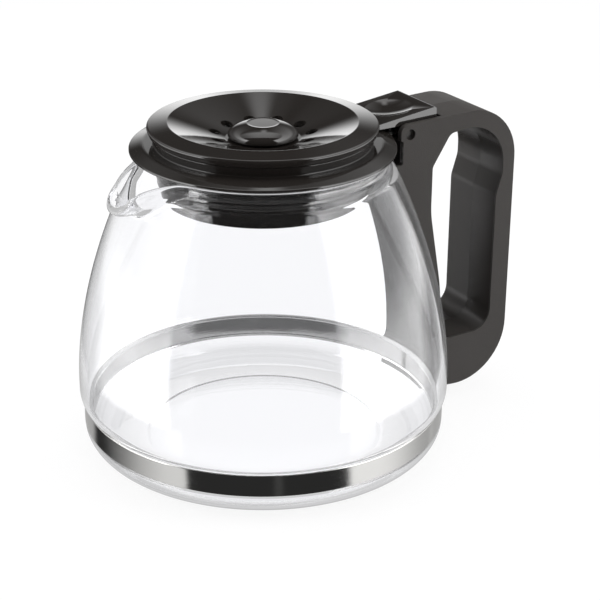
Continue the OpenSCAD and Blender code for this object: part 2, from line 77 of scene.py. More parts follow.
# %% Camera
CAMERA_TURN = math.radians(30.5)
CAMERA_AWAY = 602.4 * MM
CAMERA_HIGH = 321.8 * MM
CAMERA_PITCH = math.radians(23.75)
CAMERA_YAW = math.radians(1.333)
CAMERA_ROLL = math.radians(0.394)
CAMERA_LENS = 102.86
SENSOR_W = 36
CLIP_START = 0.01


def turned(x, y, z, turn=-CAMERA_TURN):
    """The vector turned about the vertical: from the camera's own frame to the object's."""
    return np.array([x * math.cos(turn) - y * math.sin(turn),
                     x * math.sin(turn) + y * math.cos(turn), z])


look = turned(math.sin(CAMERA_YAW) * math.cos(CAMERA_PITCH),
              math.cos(CAMERA_YAW) * math.cos(CAMERA_PITCH), -math.sin(CAMERA_PITCH))
level = turned(math.cos(CAMERA_YAW), -math.sin(CAMERA_YAW), 0)
rise = np.cross(level, look)
side = math.cos(CAMERA_ROLL) * level + math.sin(CAMERA_ROLL) * rise
upward = np.cross(side, look)
eye = turned(0, -CAMERA_AWAY, CAMERA_HIGH)
rows = zip(np.column_stack([side, upward, -look]), eye)

camera = bpy.data.objects.new("camera", bpy.data.cameras.new("camera"))
camera.data.lens = CAMERA_LENS
camera.data.sensor_width = SENSOR_W
camera.data.clip_start = CLIP_START
camera.matrix_world = Matrix([[*row, place] for row, place in rows] + [[0, 0, 0, 1]])
bpy.context.scene.collection.objects.link(camera)
bpy.context.scene.camera = camera
print("camera at, in mm:", np.round(eye / MM, 1))

# %% [markdown]
# Shader maths reads best as sums and products. Wire wraps one output socket, and Python's
# operators on it add Math nodes. Paint holds one material's tree and has one method, node,
# through which every node is made: it takes the type, its settings and its sockets' values.

# %% Wires


class Wire:
    """One output socket of a shader tree. Arithmetic on it adds Math nodes to the tree."""

    def __init__(self, paint, socket):
        """Remembers the paint whose tree holds the socket."""
        self.paint, self.socket = paint, socket

    def maths(self, operation, *others):
        """A Math node of that operation on this wire and the others, in the order given."""
        return self.paint.node("Math", {"operation": operation},
                               dict(enumerate((self, *others))))

    def __add__(self, other):
        return self.maths("ADD", other)

    def __mul__(self, other):
        return self.maths("MULTIPLY", other)

    def __sub__(self, other):
        return self.maths("SUBTRACT", other)

    def __rsub__(self, other):
        return self.paint.node("Math", {"operation": "SUBTRACT"}, {0: other, 1: self})

    def __truediv__(self, other):
        return self.maths("DIVIDE", other)

    def __pow__(self, other):
        return self.maths("POWER", other)

    __radd__ = __add__
    __rmul__ = __mul__

    def over(self, limit):
        """1 where this is more than the limit, otherwise 0."""
        return self.maths("GREATER_THAN", limit)

    def under(self, limit):
        """1 where this is less than the limit, otherwise 0."""
        return self.maths("LESS_THAN", limit)

    def step(self, low, high):
        """Smooth step: 0 below low, 1 above high, a smooth S between them."""
        return self.paint.node("MapRange", {"interpolation_type": "SMOOTHSTEP"},
                               dict(enumerate((self, low, high, 0, 1))))


def largest(first, *others):
    """The largest of several wires, by one Math node after another."""
    for other in others:
        first = first.maths("MAXIMUM", other)
    return first


# %% Paint
MIX_LOW, MIX_HIGH, MIX_COLOUR = 6, 7, 2


class Paint:
    """A material or world whose nodes are added one by one."""

    def __init__(self, owner):
        """Switches the owner to nodes and starts from an empty tree."""
        owner.use_nodes = True
        self.owner, self.tree = owner, owner.node_tree
        self.tree.nodes.clear()

    def node(self, kind, settings=None, inputs=None, output=0):
        """Adds a node of that kind, sets it up, and returns one of its outputs as a wire."""
        node = self.tree.nodes.new("ShaderNode" + kind)
        for name, value in (settings or {}).items():
            setattr(node, name, value)
        for name, value in (inputs or {}).items():
            if isinstance(value, Wire):
                self.tree.links.new(value.socket, node.inputs[name])
            else:
                node.inputs[name].default_value = value
        return Wire(self, node.outputs[output]) if node.outputs else None

    def apart(self, vector):
        """The x, y and z of a vector, as three wires."""
        split = self.node("SeparateXYZ", {}, {"Vector": vector}).socket.node
        return [Wire(self, end) for end in split.outputs]

    def place(self):
        """The point on the piece, in metres, as x, y and z wires and as one vector."""
        vector = self.node("TexCoord", output="Object")
        return [*self.apart(vector), vector]

    def noise(self, vector, scale, detail=2, rough=0.5, stretch=(1, 1, 1)):
        """Noise from 0 to 1 with that many cells a metre, squeezed by stretch."""
        vector = self.node("Mapping", {}, {"Vector": vector, "Scale": stretch})
        return self.node("TexNoise", {}, {"Vector": vector, "Scale": scale,
                                          "Detail": detail, "Roughness": rough})

    def blend(self, low, high, factor):
        """Colour that goes from low to high as factor goes from 0 to 1."""
        return self.node("Mix", {"data_type": "RGBA"},
                         {"Factor": factor, MIX_LOW: low, MIX_HIGH: high}, MIX_COLOUR)

    def bump(self, height, depth):
        """Normal of a surface that height, from 0 to 1, raises by up to depth metres."""
        return self.node("Bump", {}, {"Height": height, "Distance": depth, "Strength": 1})

    def mixed(self, first, second, factor):
        """Shader that goes from the first to the second as the factor goes from 0 to 1."""
        return self.node("MixShader", {}, {"Fac": factor, 1: first, 2: second})

    def principled(self, **sockets):
        """A Principled shader; names use _ for spaces."""
        names = {name.replace("_", " "): value for name, value in sockets.items()}
        return self.node("BsdfPrincipled", {}, names)

    def close(self, shader):
        """Closes the material with that shader."""
        self.node("OutputMaterial", {}, {"Surface": shader})
        return self.owner


def finish_named(name):
    """A new, empty material."""
    return Paint(bpy.data.materials.new(name))


# %% [markdown]
# The glass is clear and almost without colour. A blown wall is never quite even, so a slow
# noise bends its normal a little and draws the soft streaks of real glass. The pressed heel
# is even. A look that is mirrored over and over inside a thick fold would run out of bounces
# and turn black, where real glass sends it out somewhere pale. So from the third mirroring on
# a Mix Shader ends it in a grey light.

# %% Glass finish
CLEAR = (0.982, 0.984, 0.996, 1)
GLASS_IOR = 1.47
EVEN_BELOW, UNEVEN_ABOVE = 24 * MM, 50 * MM
MOST_MIRRORS = 2.5
TRAPPED = (0.50, 0.50, 0.50, 1)


def clear_glass():
    """Sharp glass, its normal bent by tall slow noise, that glows for a trapped look."""
    paint = finish_named("clear_glass")
    _, _, z, point = paint.place()
    waves = paint.noise(point, 20, detail=1, stretch=(1, 1, 0.35))
    glass = paint.principled(
        Base_Color=CLEAR, Roughness=0.0, IOR=GLASS_IOR, Transmission_Weight=1.0,
        Normal=paint.bump(waves * z.step(EVEN_BELOW, UNEVEN_ABOVE), 0.10 * MM))
    trapped = paint.node("LightPath", output="Glossy Depth").over(MOST_MIRRORS)
    pale = paint.node("Emission", {}, {"Color": TRAPPED, "Strength": 1.0})
    return paint.close(paint.mixed(glass, pale, trapped))


GLASS = clear_glass()
print("finish:", GLASS.name)

# %% [markdown]
# The band is thin polished steel. It was rolled, so it carries fine lines along its length,
# and it isn't perfectly flat, so what it mirrors wavers. The lines are noise squeezed in
# height, read from the piece's own coordinates. Screws have a plain zinc plating with a fine
# grain. The hinge pin and the lever's screws show no bright metal in the photograph, so they
# are given a near-black steel.

# %% Steel finishes
DARK_STEEL = (0.035, 0.034, 0.033, 1)


def polished_steel():
    """Mirror steel whose roughness and relief follow lines that run round the band."""
    paint = finish_named("polished_steel")
    *_, point = paint.place()
    lines = paint.noise(point, 60, detail=4, stretch=(1, 1, 40))
    waver = paint.noise(point, 45, detail=1)
    return paint.close(paint.principled(
        Base_Color=(0.68, 0.675, 0.66, 1), Metallic=1.0, Roughness=0.06 + 0.08 * lines,
        Normal=paint.bump(waver + 0.08 * lines, 0.25 * MM)))


def plated_steel():
    """Dull steel whose colour, roughness and relief follow one fine grain."""
    paint = finish_named("plated_steel")
    *_, point = paint.place()
    grain = paint.noise(point, 900, detail=3)
    return paint.close(paint.principled(
        Base_Color=paint.blend((0.42, 0.42, 0.43, 1), (0.60, 0.60, 0.60, 1), grain),
        Metallic=1.0, Roughness=0.25 + 0.2 * grain, Normal=paint.bump(grain, 0.02 * MM)))


def dark_steel():
    """Near-black steel whose roughness and relief follow one grain."""
    paint = finish_named("dark_steel")
    *_, point = paint.place()
    grain = paint.noise(point, 700)
    return paint.close(paint.principled(
        Base_Color=DARK_STEEL, Metallic=1.0, Roughness=0.4 + 0.15 * grain,
        Normal=paint.bump(grain, 0.01 * MM)))


def black_enamel():
    """Black enamel on steel, with the slight orange peel of a dipped coat."""
    paint = finish_named("black_enamel")
    *_, point = paint.place()
    peel = paint.noise(point, 500)
    return paint.close(paint.principled(
        Base_Color=(0.012, 0.012, 0.012, 1), Roughness=0.22 + 0.1 * peel,
        Normal=paint.bump(peel, 0.02 * MM)))


BAND, PLATED, DARK, ENAMEL = polished_steel(), plated_steel(), dark_steel(), black_enamel()
print("finishes:", BAND.name, PLATED.name, DARK.name, ENAMEL.name)

# %% [markdown]
# The handle's side faces have the fine spark-eroded grain of a moulding tool, and the faces
# between them are smoother, because they were polished for the draft. How far a point is
# from the middle plane tells which of the two it is on, and the top is grained as well. The
# draft itself, a slope of a few degrees, is drawn as relief. The lid is a glossy moulding.

# %% Plastic finishes
DRAFT = math.radians(3.5)
SIDE_FROM, SIDE_TO = 14.2 * MM, 14.9 * MM
TOP_FROM, TOP_TO = 114 * MM, 117 * MM


def handle_plastic():
    """Charcoal plastic: outer is 1 on the sides and the top, and scales grain and roughness."""
    paint = finish_named("handle_plastic")
    _, y, z, point = paint.place()
    aside = y.maths("ABSOLUTE")
    outer = largest(aside.step(SIDE_FROM, SIDE_TO), z.step(TOP_FROM, TOP_TO))
    grain = paint.noise(point, 1600, detail=3, rough=0.6)
    cloud = paint.noise(point, 35)
    relief = grain * (0.04 + 0.96 * outer) * (0.07 * MM) - aside * math.tan(DRAFT)
    return paint.close(paint.principled(
        Base_Color=paint.blend((0.024, 0.0215, 0.020, 1), (0.032, 0.029, 0.027, 1), cloud),
        Roughness=0.22 + 0.30 * outer + 0.06 * grain,
        Specular_IOR_Level=0.2, Normal=paint.bump(relief, 1.0)))


def lid_plastic():
    """Glossy near-black plastic: broad smears change its gloss, and a slight peel its face."""
    paint = finish_named("lid_plastic")
    *_, point = paint.place()
    peel = paint.noise(point, 220)
    smear = paint.noise(point, 40, detail=3)
    return paint.close(paint.principled(
        Base_Color=(0.014, 0.0122, 0.0110, 1), Roughness=0.04 + 0.05 * smear,
        Normal=paint.bump(peel, 0.004 * MM)))


HANDLE, LID = handle_plastic(), lid_plastic()
print("finishes:", HANDLE.name, LID.name)

# %% [markdown]
# A new piece is a grid of points. Its quads join neighbours, a seam or a pole is closed by
# merging the points that fall together, and the normals are then turned outwards. Each piece
# then gets its finish, the body that it rides on and the construction node that it replaces.

# %% From a grid to a piece
SHARP = math.radians(35)
MERGE_GAP = 1e-7


def grid_faces(rows, cols, wrap_rows, wrap_cols):
    """Quads between neighbouring points of a grid, also from last to first if wrapped."""
    r = np.arange(rows if wrap_rows else rows - 1)[:, None]
    c = np.arange(cols if wrap_cols else cols - 1)[None, :]
    below, beside = (r + 1) % rows, (c + 1) % cols
    return np.stack([r * cols + c, r * cols + beside,
                     below * cols + beside, below * cols + c], axis=-1).reshape(-1, 4)


def shade(mesh, sharp=SHARP):
    """Shades a mesh smooth, except over edges that turn by more than the sharp angle."""
    mesh.shade_smooth()
    mesh.set_sharp_from_angle(angle=sharp)


def close(mesh):
    """Merges doubles, turns the faces outwards and shades the mesh."""
    work = bmesh.new()
    work.from_mesh(mesh)
    bmesh.ops.remove_doubles(work, verts=work.verts, dist=MERGE_GAP)
    bmesh.ops.dissolve_degenerate(work, dist=MERGE_GAP, edges=work.edges)
    bmesh.ops.recalc_face_normals(work, faces=work.faces)
    work.to_mesh(mesh)
    work.free()
    shade(mesh)


def solid(name, grid, wrap_rows=False, wrap_cols=True, caps=()):
    """Object from a grid of points, rows by columns by 3, with capping faces if any."""
    faces = grid_faces(grid.shape[0], grid.shape[1], wrap_rows, wrap_cols).tolist()
    mesh = bpy.data.meshes.new(name)
    mesh.from_pydata(grid.reshape(-1, 3).tolist(), [], faces + [list(cap) for cap in caps])
    close(mesh)
    piece = bpy.data.objects.new(name, mesh)
    bpy.context.scene.collection.objects.link(piece)
    return piece


def finish(piece, material, body, node):
    """Gives a piece its finish, the body it rides on and the construction node it replaces."""
    piece.data.materials.clear()
    piece.data.materials.append(material)
    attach(piece, body)
    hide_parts(node)
    print(piece.name, "has", len(piece.data.polygons), "faces")
    return piece


# %% [markdown]
# Most pieces here were turned or blown, so a lathe comes next: a profile of radius and height
# is carried round the vertical. The profile is built of straight runs and parts of ellipses.

# %% Lathe


def around(columns):
    """That many even angles round a circle."""
    return np.linspace(0, 2 * math.pi, columns, endpoint=False)


def lathe(profile, turn):
    """Grid of a profile of [radius, height], turned about the vertical to each angle."""
    radius, height = profile[:, :1], profile[:, 1:]
    return np.stack([radius * np.cos(turn), radius * np.sin(turn),
                     np.broadcast_to(height, (len(profile), len(turn)))], axis=-1)


def quarter(centre, wide, high, start, end, count):
    """Part of an ellipse round a centre, from one angle to another, in degrees."""
    angle = np.radians(np.linspace(start, end, count))
    return np.stack([centre[0] + wide * np.cos(angle),
                     centre[1] + high * np.sin(angle)], axis=-1)


def straight(start, end, count):
    """Evenly spaced points from start to just before end."""
    share = np.linspace(0, 1, count, endpoint=False)[:, None]
    return np.asarray(start) + share * (np.asarray(end) - np.asarray(start))


# %% [markdown]
# The jug is one closed skin: up the outside, over the rim and down the inside. Below the
# shoulder it is turned. Above, the spout swells out of it: at each height and angle the radius
# is found where a smooth union of two distances, to the jug and to the leaning trough, is zero.

# %% Glass measures
WALL = 2.4 * MM
FLOOR = 3.2 * MM
LIP_R = 46.4 * MM
LIP_LOW = RIM_Z - 3.2 * MM
NECK_LOW = LIP_LOW - 4.2 * MM
BELLY_Z = 28 * MM
SHOULDER_BEND = 1.82
GROOVE_R = BAND_R - BAND_T - 0.15 * MM
GROOVE_LOW = band_low.z - 0.3 * MM
GROOVE_HIGH = band_high.z + 0.3 * MM
SPOUT_ROOT = np.array([-(LIP_R - 8.4 * MM), RIM_Z])
SPOUT_TIP = np.array([-(LIP_R + 11.4 * MM), RIM_Z - 5.6 * MM])
SPOUT_ROOT_R = 21 * MM
SPOUT_TIP_R = 8.3 * MM
SPOUT_BLEND = 2.2 * MM
SPOUT_LOW = 88 * MM
DIP_R = 28 * MM
DIP_START = LIP_R - 4.4 * MM
print("groove radius in mm:", round(GROOVE_R / MM, 2))

# %% Shoulder


def shoulder(z):
    """Outer radius above the belly: a power curve, then a cubic into the upright lip."""
    share = np.clip((z - BELLY_Z) / (RIM_Z - BELLY_Z), 0, 1)
    curve = BELLY_R - (BELLY_R - LIP_R) * share ** SHOULDER_BEND
    low = (NECK_LOW - BELLY_Z) / (RIM_Z - BELLY_Z)
    start = BELLY_R - (BELLY_R - LIP_R) * low ** SHOULDER_BEND
    slope = -(BELLY_R - LIP_R) * SHOULDER_BEND / (RIM_Z - BELLY_Z) * low ** (SHOULDER_BEND - 1)
    s = np.clip((z - NECK_LOW) / (LIP_LOW - NECK_LOW), 0, 1)
    neck = ((2 * s ** 3 - 3 * s ** 2 + 1) * start
            + (s ** 3 - 2 * s ** 2 + s) * (LIP_LOW - NECK_LOW) * slope
            + (3 * s ** 2 - 2 * s ** 3) * LIP_R)
    return np.where(z < NECK_LOW, curve, neck)


def steepness(z):
    """Length of the wall for each unit of height, which turns a wall's thickness level."""
    tiny = 0.05 * MM
    return np.hypot(1, (shoulder(z + tiny) - shoulder(z - tiny)) / (2 * tiny))


print("shoulder radius at half height, in mm:", np.round(shoulder(RIM_Z / 2) / MM, 1))

# %% Spout
NEAREST, FARTHEST = 10 * MM, 80 * MM
RADIUS_HALVINGS, HEIGHT_HALVINGS = 40, 30


def glass_radius(turn, z, inset):
    """Radius at an angle and height, found by halving where jug and trough join smoothly."""
    near = np.full(np.broadcast(turn, z).shape, NEAREST)
    far = np.full(near.shape, FARTHEST)
    axis = SPOUT_TIP - SPOUT_ROOT
    run = np.hypot(*axis)
    axis = axis / run
    jug_r, lean = shoulder(z) - inset * steepness(z), steepness(z)
    for _ in range(RADIUS_HALVINGS):
        r = (near + far) / 2
        x, y = r * np.cos(turn), r * np.sin(turn)
        along = (x - SPOUT_ROOT[0]) * axis[0] + (z - SPOUT_ROOT[1]) * axis[1]
        reach = np.clip(along, 0, run)
        off = np.sqrt((x - SPOUT_ROOT[0] - reach * axis[0]) ** 2 + y ** 2
                      + (z - SPOUT_ROOT[1] - reach * axis[1]) ** 2)
        trough = off - (SPOUT_ROOT_R + (SPOUT_TIP_R - SPOUT_ROOT_R) * reach / run - inset)
        trough = trough + np.maximum(0, -along)
        jug = (r - jug_r) / lean
        share = np.clip(0.5 + 0.5 * (trough - jug) / SPOUT_BLEND, 0, 1)
        both = trough * (1 - share) + jug * share - SPOUT_BLEND * share * (1 - share)
        near, far = np.where(both < 0, r, near), np.where(both < 0, far, r)
    return (near + far) / 2


def lip_height(x):
    """Height of the cut lip at a distance x: level, then an arc that dips towards the tip."""
    past = np.clip(-x - DIP_START, 0, 0.999 * DIP_R)
    return RIM_Z - (DIP_R - np.sqrt(DIP_R ** 2 - past ** 2))


def top_of(turn, inset):
    """Height at which the wall meets the cut lip, found by halving at each angle."""
    low, high = np.full(turn.shape, SPOUT_LOW), np.full(turn.shape, RIM_Z)
    for _ in range(HEIGHT_HALVINGS):
        z = (low + high) / 2
        above = lip_height(glass_radius(turn, z, inset) * np.cos(turn)) > z
        low, high = np.where(above, z, low), np.where(above, high, z)
    return (low + high) / 2


print("spout tip at, in mm:", np.round(SPOUT_TIP / MM, 1))

# %% Glass surface, outside and inside below the spout
HEEL_W = 13 * MM
RING_IN, RING_OUT, RING_H = 44.5 * MM, 46.3 * MM, 0.3 * MM
BULGE_H = 4.6 * MM
CORNER_R = 7 * MM
SHOULDER_ROWS = 34


def outer_low():
    """Outside below the spout: pressed foot ring, heel, groove, bulge and shoulder."""
    foot_r = BAND_R - HEEL_W
    share = np.linspace(0, 1, 14)
    ease = RING_H * (1 + np.cos(math.pi * share)) / 2
    step_low, step_high = GROOVE_LOW + 0.1 * MM, GROOVE_LOW + 0.6 * MM
    foot = np.concatenate([
        straight((0, RING_H), (RING_IN, RING_H), 7),
        np.stack([RING_IN + (RING_OUT - RING_IN) * share, ease], -1),
        straight((RING_OUT, 0), (foot_r, 0), 6)[1:],
        quarter((foot_r, GROOVE_LOW), HEEL_W, GROOVE_LOW, -90, -3, 20),
        straight((GROOVE_R + 0.35 * MM, step_low), (GROOVE_R, step_high), 3),
        straight((GROOVE_R, step_high), (GROOVE_R, GROOVE_HIGH - 0.2 * MM), 8),
        quarter((GROOVE_R, GROOVE_HIGH + BULGE_H), BELLY_R - GROOVE_R, BULGE_H, -90, 0, 12)])
    z = np.linspace(foot[-1, 1], SPOUT_LOW, SHOULDER_ROWS, endpoint=False)[1:]
    wall = np.where(z < BELLY_Z, BELLY_R, shoulder(z))
    return np.concatenate([foot, np.stack([wall, z], -1)])


def inner_low():
    """Inside below the spout, from the top down: shoulder, groove, round corner and floor."""
    in_r = GROOVE_R - WALL
    z = np.linspace(SPOUT_LOW, GROOVE_HIGH + BULGE_H, SHOULDER_ROWS)[1:]
    wall = np.where(z < BELLY_Z, BELLY_R - WALL, shoulder(z) - WALL * steepness(z))
    bulge = BELLY_R - WALL - in_r
    return np.concatenate([
        np.stack([wall, z], -1),
        quarter((in_r, GROOVE_HIGH + BULGE_H), bulge, BULGE_H, 0, -90, 12)[1:],
        straight((in_r, GROOVE_HIGH - 1 * MM), (in_r, FLOOR + CORNER_R), 8),
        quarter((in_r - CORNER_R, FLOOR + CORNER_R), CORNER_R, CORNER_R, 0, -90, 16),
        straight((in_r - CORNER_R - 1 * MM, FLOOR), (0, FLOOR), 10)[1:],
        np.array([[0, FLOOR]])])


print("rows outside and inside:", len(outer_low()), len(inner_low()))

# %% Glass surface, whole
GLASS_COLUMNS = 332
GLASS_UPPER_ROWS = 54
RIM_ROUND = 1.25 * MM
RIM_ROWS = 13


def glass_surface():
    """The whole skin: turned outside, spout outside, rim, spout inside, turned inside."""
    u = np.linspace(-1, 1, GLASS_COLUMNS, endpoint=False)
    turn = math.pi * (1 + 0.35 * u + 0.65 * u ** 3)
    share = np.linspace(0, 1, GLASS_UPPER_ROWS)[:, None]
    walls = []
    for inset in (0, WALL):
        z = SPOUT_LOW + share * (top_of(turn, inset) - RIM_ROUND - SPOUT_LOW)
        r = glass_radius(np.broadcast_to(turn, z.shape), z, inset)
        walls.append(np.stack([r * np.cos(turn), r * np.sin(turn), z], axis=-1))
    outside, inside = walls[0], walls[1][::-1]
    middle, half = (outside[-1] + inside[0]) / 2, (outside[-1] - inside[0]) / 2
    angle = np.radians(np.linspace(0, 180, RIM_ROWS))[1:-1, None, None]
    rim = middle + np.cos(angle) * half + np.sin(angle) * np.array([0, 0, RIM_ROUND])
    return np.concatenate([lathe(outer_low(), turn), outside, rim, inside,
                           lathe(inner_low(), turn)])


finish(solid("jug_glass", glass_surface()), GLASS, "jug", "glass_jug")

# %% [markdown]
# The steel band is one strip: out of the clamp, round the glass and back into the clamp. Its
# section, a thin rectangle with soft edges, is carried along that path, so the bend at each
# lug and the even sweep round the glass come from the same few lines. A long flat side next
# to a small rounded edge would shade like a cushion, so an outline gets a few extra points
# close to each edge. The screw's hole is cut with a Boolean.

# %% Outlines with rounded corners


def rounded(corners, steps=6):
    """Closed outline through corners [a, b, radius]: each arc touches both sides that meet."""
    corners = np.asarray(corners, float)
    out = []
    for before, here, after in zip(np.roll(corners, 1, 0), corners, np.roll(corners, -1, 0)):
        if here[2] == 0:
            out.append(here[None, :2])
            continue
        p, q = before[:2] - here[:2], after[:2] - here[:2]
        p, q = p / np.hypot(*p), q / np.hypot(*q)
        half = math.acos(np.clip(p @ q, -1, 1)) / 2
        middle = here[:2] + (p + q) / np.hypot(*(p + q)) * here[2] / math.sin(half)
        start = here[:2] + p * here[2] / math.tan(half) - middle
        sense = -np.sign(p[0] * q[1] - p[1] * q[0])
        turn = sense * (math.pi - 2 * half) * np.linspace(0, 1, steps + 1)[:, None]
        out.append(middle + np.cos(turn) * start
                   + np.sin(turn) * np.array([-start[1], start[0]]))
    return np.concatenate(out)


def supported(outline, margin=0.12 * MM, longest=2.0 * MM):
    """Outline with points at the margin from both ends of each long side, and more between."""
    out = []
    for here, after in zip(outline, np.roll(outline, -1, 0)):
        length = np.hypot(*(after - here))
        out.append(here[None])
        if length > 3 * margin:
            count = max(int(np.ceil(length / longest)), 1)
            share = np.concatenate([[margin / length], np.arange(1, count) / count,
                                    [1 - margin / length]])
            out.append(here + share[:, None] * (after - here))
    return np.concatenate(out)


# %% Rods and cuts
# No rod here points this way, so its cross product with a rod always has a direction.
NO_USUAL_WAY = [0.36, 0.48, 0.8]


def rod(start, end, radius, columns=32):
    """Cylinder from one point to another: two rings square to it, and two flat ends."""
    start, end = np.asarray(start, float), np.asarray(end, float)
    along = (end - start) / np.linalg.norm(end - start)
    across = np.cross(along, NO_USUAL_WAY)
    across = across / np.linalg.norm(across)
    turn = around(columns)[:, None]
    ring = radius * (np.cos(turn) * across + np.sin(turn) * np.cross(along, across))
    return solid("rod", np.stack([start + ring, end + ring]),
                 caps=(range(columns), range(columns, 2 * columns)))


def carve(piece, cutters, operation="DIFFERENCE"):
    """Cuts the cutters out of a piece, or joins them to it, and removes them."""
    for cutter in cutters:
        step = piece.modifiers.new("step", "BOOLEAN")
        step.solver, step.operation, step.object = "EXACT", operation, cutter
    made = bpy.data.meshes.new_from_object(
        piece.evaluated_get(bpy.context.evaluated_depsgraph_get()))
    piece.modifiers.clear()
    piece.data = made
    for cutter in cutters:
        bpy.data.objects.remove(cutter)
    shade(made)
    return piece


# %% Steel band
LUG_Y = 1.6 * MM
LUG_BEND = 0.9 * MM
BAND_EDGE = 0.16 * MM
BAND_COLUMNS = 360
SCREW_HOLE_R, DRILL_HALF = 1.55 * MM, 4 * MM


def band_path():
    """Middle line of the strip: straight lug, quarter bend, circle, quarter bend, lug."""
    radius = BAND_R - BAND_T / 2
    rise = LUG_Y + LUG_BEND
    bend_x = math.sqrt(radius ** 2 - rise ** 2) + LUG_BEND
    bend = quarter((bend_x, rise), LUG_BEND, LUG_BEND, -90, -180, 8)
    turn = np.linspace(math.asin(rise / radius), math.pi, BAND_COLUMNS // 2)[1:]
    half = np.concatenate([[[band_high.x, LUG_Y]], bend,
                           radius * np.stack([np.cos(turn), np.sin(turn)], -1)])
    return np.concatenate([half, (half * [1, -1])[-2::-1]])


def strip(path, section):
    """Section of [out, up] carried along a level path: each point moves along its normal."""
    along = np.gradient(path, axis=0)
    along = along / np.hypot(*along.T)[:, None]
    out = np.stack([along[:, 1], -along[:, 0]], -1)
    flat = path[None] + section[:, 0, None, None] * out[None]
    up = np.broadcast_to(section[:, 1, None, None], flat.shape[:2] + (1,))
    return np.concatenate([flat, up], axis=-1)


band_section = rounded([
    [-BAND_T / 2, band_low.z, BAND_EDGE], [BAND_T / 2, band_low.z, BAND_EDGE],
    [BAND_T / 2, band_high.z, BAND_EDGE], [-BAND_T / 2, band_high.z, BAND_EDGE]], steps=3)
band_grid = strip(band_path(), supported(band_section, 0.1 * MM, 3 * MM))
band_rows, band_cols = band_grid.shape[:2]
first_end = np.arange(band_rows) * band_cols
band = solid("band_strip", band_grid, wrap_rows=True, wrap_cols=False,
             caps=(first_end, first_end + band_cols - 1))
clamp_low, clamp_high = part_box("band_screw")
CLAMP_X, CLAMP_Z = (clamp_low.x + clamp_high.x) / 2, (clamp_low.z + clamp_high.z) / 2
carve(band, [rod([CLAMP_X, -DRILL_HALF, CLAMP_Z], [CLAMP_X, DRILL_HALF, CLAMP_Z],
                 SCREW_HOLE_R)])
finish(band, BAND, "jug", "glass_band")

# %% [markdown]
# The lid is three turned mouldings and one bar. The collar has a skirt that hangs in the
# neck, a flange that falls a little towards its edge, and an upstand. The bar on it carries
# the knuckle of the hinge. Turned outlines with rounded corners give the thin bright lines
# that a moulded edge draws, and the bar is joined on with a Boolean, as if it were one shot.

# %% Bars


def bar(outline, half_width, edge=0.0, steps=4):
    """Outline of [x, z] carried along y between two flat ends whose rims are rounded."""
    before, after = outline - np.roll(outline, 1, 0), np.roll(outline, -1, 0) - outline
    before = before / np.hypot(*before.T)[:, None]
    after = after / np.hypot(*after.T)[:, None]
    inward = np.stack([-(before + after)[:, 1], (before + after)[:, 0]], -1)
    inward = inward / (1 + np.sum(before * after, axis=1))[:, None]
    area = np.sum(outline[:, 0] * np.roll(outline[:, 1], -1)
                  - outline[:, 1] * np.roll(outline[:, 0], -1))
    inward = inward * np.sign(area)
    angle = np.linspace(0, math.pi / 2, steps + 1)
    inset, past = edge * (1 - np.sin(angle)), half_width - edge * (1 - np.cos(angle))
    inset = np.concatenate([[2.0 * edge], inset]) if edge else np.zeros(1)
    past = np.concatenate([[half_width], past]) if edge else np.full(1, half_width)
    inset, past = np.concatenate([inset, inset[::-1]]), np.concatenate([-past, past[::-1]])
    places = outline[None] + inset[:, None, None] * inward[None]
    grid = np.stack([places[..., 0], np.broadcast_to(past[:, None], places.shape[:2]),
                     places[..., 1]], axis=-1)
    count, last = len(outline), (len(past) - 1) * len(outline)
    return solid("bar", grid, caps=(range(count), range(last, last + count)))


# %% Lid measures
LID_T = 1.8 * MM
UPSTAND_R = 40.5 * MM
UNDERCUT = 0.8 * MM
FLANGE_R = -collar_low.x
SKIRT_R = 40.0 * MM
BORE_R = SKIRT_R - LID_T
SKIRT_LOW, UPSTAND_TOP = collar_low.z, collar_high.z
FLANGE_LOW = RIM_Z + 1.7 * MM
FLANGE_TOP, FLANGE_FALL = FLANGE_LOW + 2.6 * MM, 1.55 * MM
FALL_FROM, FALL_OVER, FALL_ROWS = 0.38, 0.22, 16
SEAT_R = 46.0 * MM
SEAT_LOW = RIM_Z + 0.3 * MM
ARM_LOW, ARM_TOP = RIM_Z + 1.4 * MM, RIM_Z + 4.7 * MM
ARM_START = UPSTAND_R - 4 * MM
LEVER_HALF = 12.5 * MM
KNUCKLE_R = 3.15 * MM
PIN_HOLE_R, PIN_HOLE_HALF = 1.55 * MM, 14 * MM
HOOK_HALF = 7 * MM
ROUND = 192
print("lid flange radius in mm:", round(FLANGE_R / MM, 2))

# %% Lid collar


def flange_top_points():
    """Top of the flange from its edge inwards: an even slope that levels out at the wall."""
    share = np.linspace(0, 1, FALL_ROWS)[1:]
    radius = UPSTAND_R + (FLANGE_R - 0.2 * MM - UPSTAND_R) * share
    slope = np.clip((share - FALL_FROM) / FALL_OVER, 0, 1)
    fall = np.cumsum(slope ** 2 * (3 - 2 * slope))
    return [[r, FLANGE_TOP - FLANGE_FALL * f / fall[-1], 0]
            for r, f in zip(radius[::-1], fall[::-1])]


